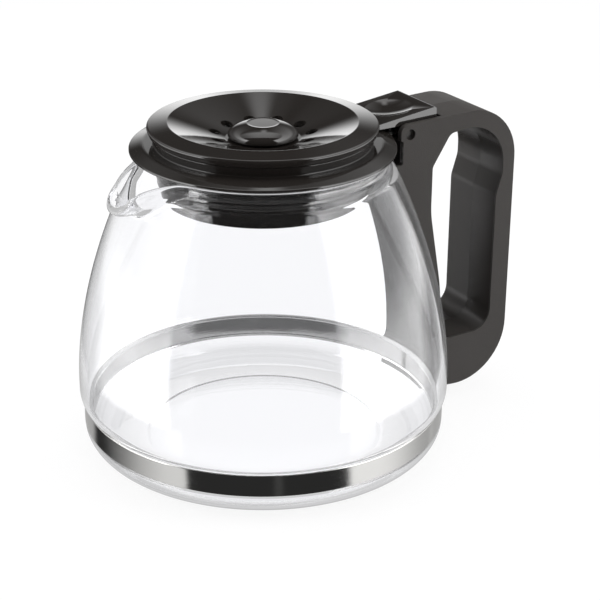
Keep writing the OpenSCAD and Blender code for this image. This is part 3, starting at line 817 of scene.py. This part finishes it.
collar_outline = rounded([
    [BORE_R, SKIRT_LOW, 0.3 * MM], [SKIRT_R - 0.5 * MM, SKIRT_LOW, 0.5 * MM],
    [SKIRT_R - 0.5 * MM, SKIRT_LOW + 3.0 * MM, 0.2 * MM],
    [SKIRT_R, SKIRT_LOW + 3.5 * MM, 0.2 * MM],
    [SKIRT_R, FLANGE_LOW, 0.3 * MM], [SEAT_R - LID_T, FLANGE_LOW, 0.2 * MM],
    [SEAT_R - LID_T, SEAT_LOW, 0.2 * MM], [SEAT_R, SEAT_LOW, 0.3 * MM],
    [SEAT_R, FLANGE_LOW, 0.2 * MM], [FLANGE_R, FLANGE_LOW, 0.35 * MM],
    [FLANGE_R, FLANGE_TOP - FLANGE_FALL - 0.1 * MM, 0.15 * MM], *flange_top_points(),
    [UPSTAND_R - 0.2 * MM, FLANGE_TOP, 0.4 * MM],
    [UPSTAND_R + UNDERCUT, UPSTAND_TOP, 0.3 * MM],
    [UPSTAND_R - LID_T, UPSTAND_TOP, 0.3 * MM],
    [UPSTAND_R - LID_T, FLANGE_LOW + LID_T, 0.4 * MM], [BORE_R, FLANGE_LOW + LID_T, 0.3 * MM]])
collar = solid("collar", lathe(supported(collar_outline), around(ROUND)), wrap_rows=True)
print("collar outline has", len(collar_outline), "points")

# %% Arm and knuckle
arm = bar(supported(rounded([
    [ARM_START, ARM_LOW, 0], [PIN_X, ARM_LOW, 0],
    [PIN_X, ARM_TOP, 0.3 * MM], [ARM_START, ARM_TOP, 0]])), LEVER_HALF, 0.4 * MM)
knuckle = rod([PIN_X, -LEVER_HALF, PIN_Z], [PIN_X, LEVER_HALF, PIN_Z], KNUCKLE_R, 64)
HOLLOW_R, HOLLOW_LOW, HOLLOW_HIGH = UPSTAND_R - 0.9 * MM, 100 * MM, 130 * MM
hollow = solid("hollow", lathe(np.array([
    [0, HOLLOW_LOW], [HOLLOW_R, HOLLOW_LOW],
    [HOLLOW_R, HOLLOW_HIGH], [0, HOLLOW_HIGH]]), around(ROUND)))
carve(arm, [hollow])
carve(collar, [arm, knuckle], "UNION")
HOOK_IN, HOOK_OUT = SKIRT_R + 1 * MM, SEAT_R + 1 * MM
hook_room = bar(np.array([[HOOK_IN, RIM_Z], [HOOK_OUT, RIM_Z],
                          [HOOK_OUT, ARM_LOW], [HOOK_IN, ARM_LOW]]), HOOK_HALF)
pin_hole = rod([PIN_X, -PIN_HOLE_HALF, PIN_Z], [PIN_X, PIN_HOLE_HALF, PIN_Z], PIN_HOLE_R)
carve(collar, [hook_room, pin_hole])
finish(collar, LID, "lid", "lid_collar")

# %% [markdown]
# The dish is a shallow cone that catches what drips from the filter. Coffee runs through the
# eleven holes round its knob. A long outline turned once gives the rim, the crest, the bowl
# and the tube below, and the holes are drilled with Booleans, as a core pin would form them.

# %% Drip dish
DISH_R = -dish_low.x
RIM_LOW = UPSTAND_TOP + 0.3 * MM
CREST_R, CREST_Z = DISH_R - 7.65 * MM, dish_high.z
BOWL_FLAT_R, BOWL_Z = 14 * MM, knob_low.z
BOWL_T = 2.0 * MM
TUBE_R = BORE_R - 0.3 * MM
HOLES, HOLE_R, HOLE_RING, HOLE_TURN = 11, 2.3 * MM, 18.1 * MM, math.radians(10)

dish_outline = rounded([
    [SCREW_HOLE_R, BOWL_Z, 0], [BOWL_FLAT_R, BOWL_Z, 1.5 * MM],
    [CREST_R, CREST_Z + 0.1 * MM, 0.9 * MM],
    [DISH_R - 0.1 * MM, CREST_Z - 1.1 * MM, 0.75 * MM],
    [DISH_R, RIM_LOW + 2 * MM, 0.5 * MM], [DISH_R - 0.8 * MM, RIM_LOW, 0.4 * MM],
    [TUBE_R, RIM_LOW, 0.3 * MM], [TUBE_R, dish_low.z, 0.3 * MM],
    [TUBE_R - LID_T, dish_low.z, 0.3 * MM], [TUBE_R - LID_T, CREST_Z - BOWL_T, 0.3 * MM],
    [CREST_R, CREST_Z - BOWL_T, 1 * MM], [BOWL_FLAT_R, BOWL_Z - BOWL_T, 1 * MM],
    [SCREW_HOLE_R, BOWL_Z - BOWL_T, 0]])
dish = solid("dish", lathe(supported(dish_outline, longest=1.2 * MM), around(ROUND)),
             wrap_rows=True)
angles = HOLE_TURN + np.arange(HOLES) * 2 * math.pi / HOLES
carve(dish, [rod([HOLE_RING * math.cos(a), HOLE_RING * math.sin(a), BOWL_Z - 5 * MM],
                 [HOLE_RING * math.cos(a), HOLE_RING * math.sin(a), CREST_Z + 2 * MM],
                 HOLE_R, 40) for a in angles])
finish(dish, LID, "dish", "lid_dish")

# %% [markdown]
# The knob is what the fingers pinch to lift the dish. Its dome is a flat ellipse with a small
# sunk disc on top, where the mould's gate was, and its foot is drawn in for the nails.

# %% Knob
KNOB_R, KNOB_ROUND = knob_high.x, 128
KNOB_RING = BOWL_Z + 1.1 * MM
DOME_H = knob_high.z - KNOB_RING
FOOT_R = 7 * MM
DISC_R = 6.2 * MM
disc_angle = math.acos(DISC_R / KNOB_R)
disc_z = KNOB_RING + DOME_H * math.sin(disc_angle)
bore_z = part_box("knob_screw")[1].z + 0.3 * MM

knob_outline = np.concatenate([
    [[0, bore_z], [SCREW_HOLE_R, bore_z], [SCREW_HOLE_R, BOWL_Z],
     [FOOT_R, BOWL_Z], [FOOT_R, BOWL_Z + 0.3 * MM],
     [KNOB_R - 0.9 * MM, BOWL_Z + 0.5 * MM], [KNOB_R - 0.3 * MM, BOWL_Z + 0.65 * MM]],
    quarter((0, KNOB_RING), KNOB_R, DOME_H, 0, math.degrees(disc_angle), 28),
    [[DISC_R - 0.15 * MM, disc_z + 0.02 * MM], [DISC_R - 0.35 * MM, disc_z - 0.03 * MM],
     [DISC_R - 1.2 * MM, disc_z - 0.03 * MM], [2 * MM, disc_z - 0.02 * MM],
     [0, disc_z - 0.02 * MM]]])
knob = solid("knob_cap", lathe(knob_outline, around(KNOB_ROUND)))
finish(knob, LID, "dish", "knob")

# %% [markdown]
# The handle's two halves, and the lever, keep their construction form. Each is copied, its
# loose triangles are merged, flat neighbours are joined, and a narrow bevel rounds its edges,
# because a moulded edge that catches no light looks cut from paper. The bevels of the two
# halves meet in the fine groove that every handle of this kind has along its middle.

# %% Bevelled copies of construction nodes
CREASE = math.radians(12)
FLAT = math.radians(0.6)
COPY_GAP = 2e-6


def dressed(node, name, material, body, width, segments=3):
    """Copy of a construction node with merged points, joined flats and rounded edges."""
    piece = bpy.data.objects.new(name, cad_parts[node].data.copy())
    bpy.context.scene.collection.objects.link(piece)
    work = bmesh.new()
    work.from_mesh(piece.data)
    bmesh.ops.remove_doubles(work, verts=work.verts, dist=COPY_GAP)
    bmesh.ops.dissolve_limit(work, angle_limit=FLAT, verts=work.verts,
                             edges=work.edges, use_dissolve_boundaries=False)
    work.to_mesh(piece.data)
    work.free()
    shade(piece.data, CREASE)
    bevel = piece.modifiers.new("edges", "BEVEL")
    bevel.width, bevel.segments = width, segments
    bevel.limit_method, bevel.angle_limit = "ANGLE", SHARP
    bevel.harden_normals = True
    return finish(piece, material, body, node)


dressed("handle_left", "handle_shell_left", HANDLE, "jug", 0.6 * MM)
dressed("handle_right", "handle_shell_right", HANDLE, "jug", 0.6 * MM)
dressed("thumb_lever", "lever_moulding", LID, "lid", 0.5 * MM)

# %% [markdown]
# Screws, nut, pin and hook are small and mostly out of sight, and their construction form is
# right as it is. So they stay, and only get a finish.

# %% Finishes of the nodes that stay
kept = {"band_screw": PLATED, "band_nut": PLATED, "handle_screws": PLATED,
        "rim_hook": ENAMEL, "hinge_pin": DARK, "lever_screws": DARK, "knob_screw": PLATED}
for node, material in kept.items():
    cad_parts[node].data.materials.clear()
    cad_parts[node].data.materials.append(material)
print("finished as they are:", *kept)

# %% [markdown]
# Glass and polished steel have no colour of their own to show: they show the room. In a
# studio such a jug stands before a white sheet, with a tall soft box at each side, a lamp
# overhead, and the dark of the room behind the camera. Real cards and boxes would stand in
# the way of other views, so the world holds that studio as a pattern of directions, and only
# what is mirrored shows it. The floor and the world are white to the eye and through glass.
# Light Path tells these looks apart.

# %% Which rays look straight, and which are mirrored
MANY_SIDES, FOLD_SIDES = 4.5, 7.5


def ray_kinds(paint):
    """Wires for a look straight or through glass, by way of a mirror, and from inside a wall.

    Sharp glass counts as glossy too, so a look that met no mirror has a glossy depth of 0. A
    look from inside a wall was mirrored there. The last wire counts the sides it went through.
    """
    seen, glossy, sent = (paint.node("LightPath", output="Is " + name + " Ray")
                          for name in ("Camera", "Glossy", "Transmission"))
    mirrors = paint.node("LightPath", output="Glossy Depth")
    sides = paint.node("LightPath", output="Transmission Depth")
    straight = largest(seen, sent * mirrors.under(0.5))
    return straight, glossy * (1 - straight), sent * (1 - straight), sides


def folded(sides):
    """1 for a look that passed five to seven sides, as in the tight folds of the spout."""
    return sides.over(MANY_SIDES) * sides.under(FOLD_SIDES)


# %% [markdown]
# The floor is a plain white disc. To the eye it is nearly a light of its own, so it stays
# white and keeps only a soft shadow. Through glass its glow carries a painted shadow: it is
# dimmer in a ring round where the jug stands. Mirrors look past it, apart from looks inside
# the glass close to the jug, which see that glow with more painted shade.

# %% Floor
FLOOR_R, FLOOR_COLUMNS = 4.0, 96
FLOOR_GLOW = 0.9
FLOOR_WHITE = (0.82, 0.82, 0.83, 1)
# Painted shadow: the glow through glass dims in a ring round the jug, then comes back up beside
# it.
BELOW_GLOW, PAINTED_SHADOW, PAINTED_SHADOW_END, PAINTED_SHADE_INSIDE = 1.07, 0.2, 0.19, 0.22
UNDER_JUG = (35 * MM, 60 * MM)
BESIDE_JUG = (72 * MM, 95 * MM)
AWAY_FROM_JUG = (95 * MM, 150 * MM)


def pale_floor():
    """White floor with a soft shadow, a glow through glass with painted shade; mirrors pass it.
    """
    paint = finish_named("pale_floor")
    straight, mirrored, inside, sides = ray_kinds(paint)
    seen = paint.node("LightPath", output="Is Camera Ray")
    x, y, _, _ = paint.place()
    away = (x * x + y * y) ** 0.5
    near = sides.under(MANY_SIDES) * (1 - away.step(*AWAY_FROM_JUG))
    inside = inside * largest(near, folded(sides))
    # Painted shadow in the glow: dimmer round the jug, and dimmer still for looks mirrored
    # inside the glass.
    below = (BELOW_GLOW - PAINTED_SHADOW * away.step(*UNDER_JUG)
             + PAINTED_SHADOW_END * away.step(*BESIDE_JUG) - PAINTED_SHADE_INSIDE * inside)
    plain = paint.node("BsdfDiffuse", {}, {"Color": FLOOR_WHITE})
    glow = paint.node("Emission", {}, {"Color": below * (1 - seen) + seen, "Strength": 1.0})
    clear = paint.node("BsdfTransparent", {}, {"Color": (1, 1, 1, 1)})
    white = paint.mixed(plain, glow,
                        largest(straight, inside) * (1 - (1 - FLOOR_GLOW) * seen))
    return paint.close(paint.mixed(white, clear, mirrored * (1 - inside)))


turns = around(FLOOR_COLUMNS)
floor_mesh = bpy.data.meshes.new("floor")
floor_mesh.from_pydata([(FLOOR_R * math.cos(a), FLOOR_R * math.sin(a), 0) for a in turns], [],
                       [list(range(len(turns)))])
floor_mesh.materials.append(pale_floor())
floor = bpy.data.objects.new("floor", floor_mesh)
bpy.context.scene.collection.objects.link(floor)
print("floor radius in m:", FLOOR_R)

# %% [markdown]
# Directions in the studio are given as a photographer would: turn is the angle to the right
# of straight ahead, and height the angle above the level, both in degrees. The sheet is a
# round glow ahead. Each soft box starts ahead and brightens towards its far edge at the side.

# %% White sheet and soft boxes
AHEAD = turned(0, 1, 0)
DEGREE = math.radians(1)
SHEET_TURN, SHEET_HEIGHT, SHEET_FADE = -2.0, 5.0, (4, 20.5)
LEFT_BOX = {"far": 116, "strength": 7.0, "power": 2.1, "top": 46}
RIGHT_BOX = {"far": 126, "strength": 6.0, "power": 1.3, "top": 56}
HIDDEN_TURN, HIDDEN_HEIGHT = (52, 68), (-14, -8)
DIM_LOW, DIM_HIGH, DIM_SOFT, DIM = -3, 27, 7, 0.68


def bearing(x, y):
    """Turn in degrees, and the parts of the direction to the right and ahead, as wires."""
    ahead = x * float(AHEAD[0]) + y * float(AHEAD[1])
    right = x * float(level[0]) + y * float(level[1])
    return right.maths("ARCTAN2", ahead) / DEGREE, right, ahead


def between(value, low, high, soft):
    """Band from low to high whose two ends are soft over that much."""
    return value.step(low - soft, low + soft) * (1 - value.step(high - soft, high + soft))


def sheet_light(turn, height):
    """Round glow that fades with the distance from its middle, and is dimmer when low."""
    off_side, off_high = turn - SHEET_TURN, height - SHEET_HEIGHT
    off = (off_side * off_side + off_high * off_high) ** 0.5
    return (1 - off.step(*SHEET_FADE)) * (0.8 + 1.4 * height.step(-2.5, 2.5))


def box_light(turn, height, far, strength, power, top):
    """Soft box: a power of the turn up to its far edge, less a dim band and a low corner."""
    share = (turn.maths("MAXIMUM", 0) / far).maths("MINIMUM", 1)
    hidden = (1 - turn.step(*HIDDEN_TURN)) * (1 - height.step(*HIDDEN_HEIGHT))
    return (strength * share ** power * (1 - turn.step(far + 2, far + 8))
            * (1 - DIM * between(height, DIM_LOW, DIM_HIGH, DIM_SOFT))
            * (1 - height.step(top - 4, top + 4)) * (1 - hidden))


print("straight ahead is", np.round(AHEAD, 3))

# %% [markdown]
# The lamp hangs above and a little ahead. Its edges are given as slopes, the way ahead or to
# the side for each unit up. The table that the jug stands on is lit by the same boxes, so it
# has their bright and dark sides.

# %% Lamp overhead and table
LAMP = 2.3
LAMP_FAR, LAMP_NEAR, LAMP_FADE = (0.64, 0.96), (-0.03, 0.03), (0.1, 0.7)
LAMP_EDGE, LAMP_LEAST_UP = (0.9, 1.3), (0.3, 0.4)
NOTCH_AHEAD, NOTCH_SIDE = (0.5, 0.7), (0.01, 0.09)
TABLE_DARK, TABLE_AHEAD, STREAK = 0.03, (38, 48), (168, 172, 1)
TABLE_LEFT, TABLE_LEFT_END = (52, 128), (128, 132)
TABLE_NEAR, TABLE_RIGHT, TABLE_RIGHT_END = (38, 46), (50, 105), (123, 126.5)


def lamp_light(right, ahead, up):
    """Lamp that ends ahead and at both sides, fades sideways and has a notch far ahead."""
    above = up.maths("MAXIMUM", 0.01)
    out, beside = ahead / above, (right / above).maths("ABSOLUTE")
    return (LAMP * (1 - out.step(*LAMP_FAR)) * out.step(*LAMP_NEAR)
            * (1 - 0.6 * beside.step(*LAMP_FADE)) * (1 - beside.step(*LAMP_EDGE))
            * (1 - 0.85 * out.step(*NOTCH_AHEAD) * beside.step(*NOTCH_SIDE))
            * up.step(*LAMP_LEAST_UP))


def table_light(turn, left, aside):
    """Table: dark, but bright ahead and in front of each soft box, with a faint streak."""
    to_left = 0.88 * left.step(*TABLE_LEFT) * (1 - left.step(*TABLE_LEFT_END))
    to_right = ((0.45 * turn.step(*TABLE_NEAR) + 0.63 * turn.step(*TABLE_RIGHT))
                * (1 - turn.step(*TABLE_RIGHT_END)))
    return (TABLE_DARK + 0.45 * (1 - aside.step(*TABLE_AHEAD)) + to_left + to_right
            + 0.04 * between(turn, *STREAK))


# %% [markdown]
# The world puts these together. A look that passed many sides of glass sees a dimmer room,
# and one that was mirrored inside the glass sees the pale surroundings.

# %% World
ROOM_DARK = 0.04
TABLE_EDGE = (-23.5, -21.5)
DEEP_DIM, DEEPEST_DIM = 0.55, 0.5
PALE_SIDE, PALE_LOW = (110, 128), (-12, -6)
PLAIN_LIGHT = 0.62


def studio_world():
    """White to the eye; to mirrors a glow ahead, soft boxes, a lamp above, table and dark."""
    paint = Paint(bpy.data.worlds.new("studio"))
    bpy.context.scene.world = paint.owner
    straight, mirrored, inside, sides = ray_kinds(paint)
    x, y, up = paint.apart(paint.node("TexCoord", output="Generated"))
    turn, right, ahead = bearing(x, y)
    left, aside = turn * -1, turn.maths("ABSOLUTE")
    height = up.maths("ARCSINE") / DEGREE
    room = largest(ROOM_DARK + sheet_light(turn, height),
                   box_light(left, height, **LEFT_BOX), box_light(turn, height, **RIGHT_BOX))
    far = height.step(*TABLE_EDGE)
    room = largest(room * far + table_light(turn, left, aside) * (1 - far),
                   lamp_light(right, ahead, up))
    room = room * (1 - DEEP_DIM * sides.over(MANY_SIDES))
    pale = largest(1 - aside.step(*PALE_SIDE), height.step(*PALE_LOW) * sides.over(2.5),
                   folded(sides))
    room = largest(room, inside * pale * (1 - DEEPEST_DIM * sides.over(FOLD_SIDES)))
    plain, seen = (paint.node("Background", {}, {"Color": (1, 1, 1, 1), "Strength": strength})
                   for strength in (PLAIN_LIGHT, 1.0))
    studio = paint.node("Background", {}, {"Color": room, "Strength": 1.0})
    paint.node("OutputWorld", {}, {
        "Surface": paint.mixed(paint.mixed(plain, seen, straight), studio, mirrored)})
    return paint.owner


world = studio_world()
print("world:", world.name, "with", len(world.node_tree.nodes), "nodes")

# %% [markdown]
# Three large soft lamps light the plastic and the floor's shadow, two at the sides and one
# above. Mirrors and the camera don't see them, because the world already holds their image.

# %% Lamps
AIM = Vector((0.01, 0, 0.07))


def soft_lamp(name, across, ahead, high, wide, tall, power):
    """Square lamp at a place given across, along and above the view, turned to the object."""
    place = Vector(level * across + AHEAD * ahead) + Vector((0, 0, high))
    lamp = bpy.data.objects.new(name, bpy.data.lights.new(name, "AREA"))
    lamp.data.shape = "RECTANGLE"
    lamp.data.size, lamp.data.size_y, lamp.data.energy = wide, tall, power
    lamp.location = place
    lamp.rotation_euler = (AIM - place).to_track_quat("-Z", "Y").to_euler()
    lamp.visible_camera = lamp.visible_glossy = lamp.visible_transmission = False
    bpy.context.scene.collection.objects.link(lamp)
    print(name, "of", power, "watts")


soft_lamp("left_box", -0.95, -0.1, 0.55, 0.7, 0.8, 8)
soft_lamp("right_box", 0.95, -0.1, 0.55, 0.7, 0.8, 9)
soft_lamp("top_box", 0.0, 0.2, 1.2, 0.8, 0.8, 7)

# %% [markdown]
# The Standard view shows colours as they are written.

# %% Look of the render
bpy.context.scene.view_settings.view_transform = "Standard"
print("view:", bpy.context.scene.view_settings.view_transform)
